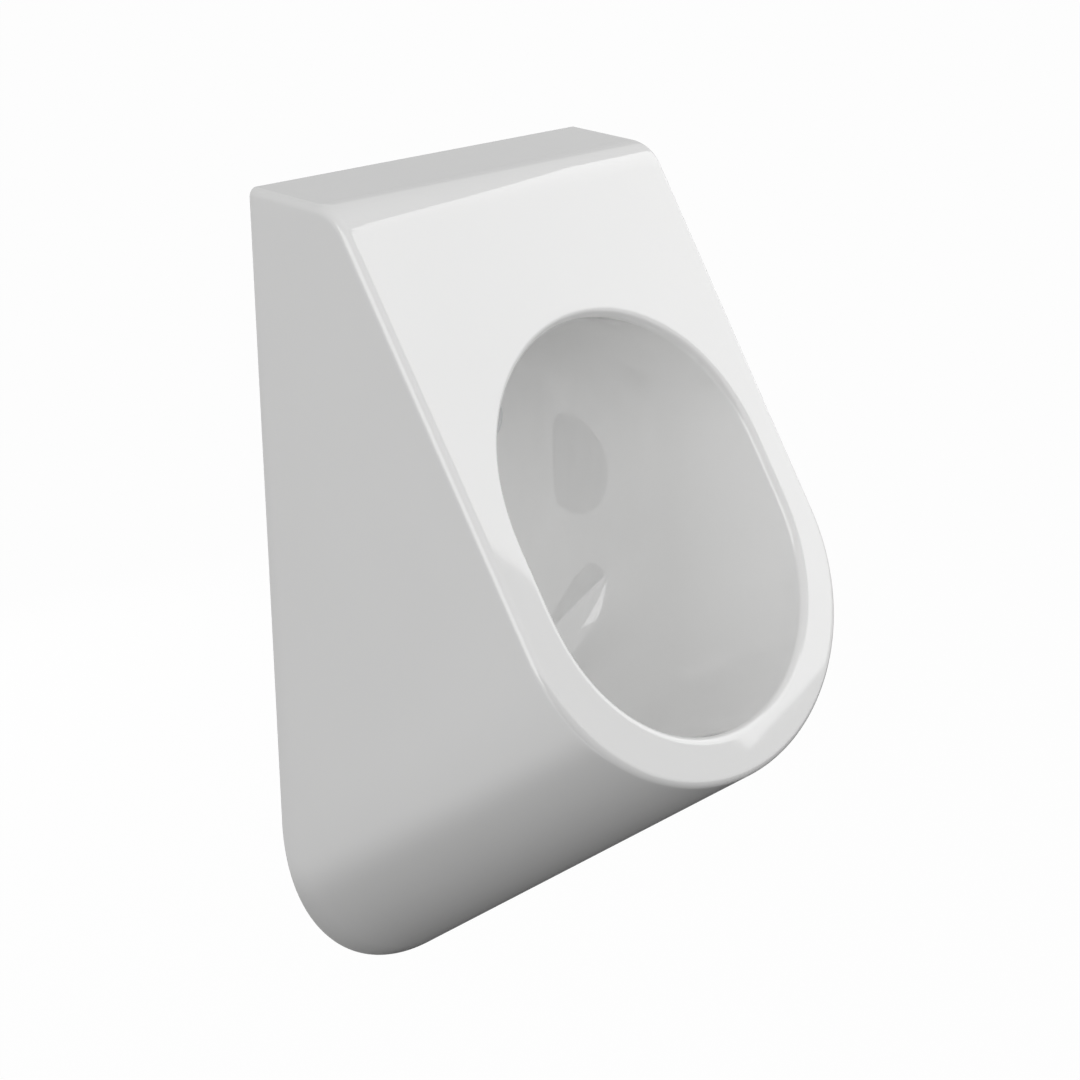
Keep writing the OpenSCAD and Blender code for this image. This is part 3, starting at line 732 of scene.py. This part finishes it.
# Black cards as a photographer sets them, seen in mirror images alone.
# Middle and size in metres, the way each faces, and how dense it is
cards = {
    "low": {
        "at": (1.3, 0.1, -0.45),
        "facing": (0, 0, 1),
        "size": (3.6, 5.2),
        "dense": 0.95,
    },
    "step": {
        "at": (-0.7, -1.5, -0.5),
        "facing": (0, 0, 1),
        "size": (2.6, 2.2),
        "dense": 1,
    },
    "front": {
        "at": (-0.9, -2.0, -0.3),
        "facing": (0.41, 0.89, 0.15),
        "size": (4.4, 2.0),
        "dense": 1,
    },
    "top": {
        "at": (1.75, 1.35, 0.95),
        "facing": (-0.76, -0.6, -0.25),
        "size": (3.0, 1.5),
        "dense": 0.3,
    },
}
cardBlack = (0.02, 0.02, 0.02)
cardRoughness = 0.9
cardSoft = 0.15


def cardMaterial(name, dense):
    # black in the middle, clear towards the edges, so that its mirror image has no hard border.
    # The mapping puts the middle of the card's UV map at the middle of the round gradient
    material, tree, shader = newMaterial(name, cardBlack, cardRoughness)
    place = tree.nodes.new("ShaderNodeTexCoord")
    mapping = tree.nodes.new("ShaderNodeMapping")
    mapping.inputs["Location"].default_value = (-1, -1, 0)
    mapping.inputs["Scale"].default_value = (2, 2, 0)
    middle = tree.nodes.new("ShaderNodeTexGradient")
    middle.gradient_type = "SPHERICAL"
    fade = tree.nodes.new("ShaderNodeMapRange")
    fade.interpolation_type = "SMOOTHSTEP"
    fade.inputs["From Max"].default_value = cardSoft
    fade.inputs["To Max"].default_value = dense
    tree.links.new(place.outputs["UV"], mapping.inputs["Vector"])
    tree.links.new(mapping.outputs["Vector"], middle.inputs["Vector"])
    tree.links.new(middle.outputs["Fac"], fade.inputs["Value"])
    tree.links.new(fade.outputs["Result"], shader.inputs["Alpha"])
    return material


def addCard(name, spec):
    bm = bmesh.new()
    bm.loops.layers.uv.new("UVMap")
    bmesh.ops.create_grid(bm, x_segments=1, y_segments=1, size=0.5, calc_uvs=True)
    bmesh.ops.scale(bm, verts=bm.verts, vec=(*spec["size"], 1))
    turned = Vector(spec["facing"]).to_track_quat("Z", "Y").to_matrix()
    bmesh.ops.rotate(bm, verts=bm.verts, cent=(0, 0, 0), matrix=turned)
    bmesh.ops.translate(bm, verts=bm.verts, vec=spec["at"])
    mesh = bpy.data.meshes.new(name)
    bm.to_mesh(mesh)
    bm.free()
    mesh.materials.append(cardMaterial(name, spec["dense"]))
    piece = bpy.data.objects.new(name, mesh)
    piece.visible_camera = False
    piece.visible_diffuse = False
    piece.visible_shadow = False
    bpy.context.scene.collection.objects.link(piece)


def addLight(name, spec):
    data = bpy.data.lights.new(name, "AREA")
    data.shape = "RECTANGLE"
    data.size, data.size_y = spec["size"]
    data.energy = spec["power"]
    lamp = bpy.data.objects.new(name, data)
    lamp.visible_camera = False
    lamp.visible_glossy = spec["mirrored"]
    back = (Vector(spec["at"]) - Vector(room["aim"])).normalized()
    across = Vector(spec["up"]).cross(back).normalized()
    turned = Matrix((across, back.cross(across), back)).transposed().to_4x4()
    lamp.matrix_world = Matrix.Translation(spec["at"]) @ turned
    bpy.context.scene.collection.objects.link(lamp)


def showWhite(tree, low, high):
    # high for the rays that see the background, from the camera, mirrored or through glass,
    # and low for the rest
    path = tree.nodes.new("ShaderNodeLightPath")
    level = low
    for ray in ("Is Glossy Ray", "Is Transmission Ray", "Is Camera Ray"):
        blend = tree.nodes.new("ShaderNodeMix")
        if isinstance(level, float):
            blend.inputs["A"].default_value = level
        else:
            tree.links.new(level, blend.inputs["A"])
        blend.inputs["B"].default_value = high
        tree.links.new(path.outputs[ray], blend.inputs["Factor"])
        level = blend.outputs["Result"]
    return level


def buildWorld():
    world = bpy.data.worlds.new("room")
    bpy.context.scene.world = world
    world.use_nodes = True
    tree = world.node_tree
    background = tree.nodes["Background"]
    background.inputs["Color"].default_value = (1, 1, 1, 1)
    # the ambient light is stronger on the side that ambientSide points to
    place = tree.nodes.new("ShaderNodeTexCoord")
    share = tree.nodes.new("ShaderNodeVectorMath")
    share.operation = "DOT_PRODUCT"
    share.inputs[1].default_value = room["ambientSide"]
    level = tree.nodes.new("ShaderNodeMath")
    level.inputs[1].default_value = room["ambient"]
    tree.links.new(place.outputs["Generated"], share.inputs[0])
    tree.links.new(share.outputs["Value"], level.inputs[0])
    lit = tree.nodes.new("ShaderNodeMath")
    lit.operation = "MAXIMUM"
    lit.inputs[1].default_value = 0
    tree.links.new(level.outputs["Value"], lit.inputs[0])
    strength = showWhite(tree, lit.outputs["Value"], room["white"])
    tree.links.new(strength, background.inputs["Strength"])


def floorMaterial():
    # white to the camera, but still with a little of the object's shadow
    material = bpy.data.materials.new("pale_floor")
    material.use_nodes = True
    tree = material.node_tree
    tree.nodes.clear()
    out = tree.nodes.new("ShaderNodeOutputMaterial")
    matt = tree.nodes.new("ShaderNodeBsdfDiffuse")
    matt.inputs["Color"].default_value = room["floorBounce"]
    white = tree.nodes.new("ShaderNodeEmission")
    blend = tree.nodes.new("ShaderNodeMixShader")
    white.inputs["Strength"].default_value = room["floorGlow"]
    tree.links.new(showWhite(tree, 0.0, room["floorWhite"]), blend.inputs["Fac"])
    tree.links.new(matt.outputs["BSDF"], blend.inputs[1])
    tree.links.new(white.outputs["Emission"], blend.inputs[2])
    tree.links.new(blend.outputs["Shader"], out.inputs["Surface"])
    return material


def buildRoom():
    buildWorld()
    bm = bmesh.new()
    bmesh.ops.create_grid(bm, x_segments=2, y_segments=2, size=room["floorSize"] / 2)
    bmesh.ops.translate(bm, verts=bm.verts, vec=(0, 0, room["floorHeight"]))
    mesh = bpy.data.meshes.new("floor")
    bm.to_mesh(mesh)
    bm.free()
    mesh.materials.append(floorMaterial())
    floor = bpy.data.objects.new("floor", mesh)
    bpy.context.scene.collection.objects.link(floor)
    for name, spec in cards.items():
        addCard(name + "_card", spec)
    for name, spec in lights.items():
        addLight(name, spec)


photo = {
    "at": (-1.01857, -0.83891, 0.66491),
    "azimuth": -53.855,
    "elevation": 19.895,
    "lens": 63.33,
}


def buildCamera():
    data = bpy.data.cameras.new("camera")
    data.sensor_width = 36
    data.lens = photo["lens"]
    camera = bpy.data.objects.new("camera", data)
    a, e = math.radians(photo["azimuth"]), math.radians(photo["elevation"])
    back = Vector((math.sin(a) * math.cos(e), -math.cos(a) * math.cos(e), math.sin(e)))
    camera.location = photo["at"]
    camera.rotation_mode = "QUATERNION"
    camera.rotation_quaternion = (-back).to_track_quat("-Z", "Y")
    bpy.context.scene.collection.objects.link(camera)
    bpy.context.scene.camera = camera


buildCamera()
buildRoom()
print("room and camera ready")
whiteGlaze = chinaMaterial()
dressNodes(whiteGlaze)
chinaBody = buildChina()
chinaBody.data.materials.append(whiteGlaze)
print("china built:", len(chinaBody.data.polygons), "faces")
bpy.context.scene.view_settings.view_transform = "Standard"
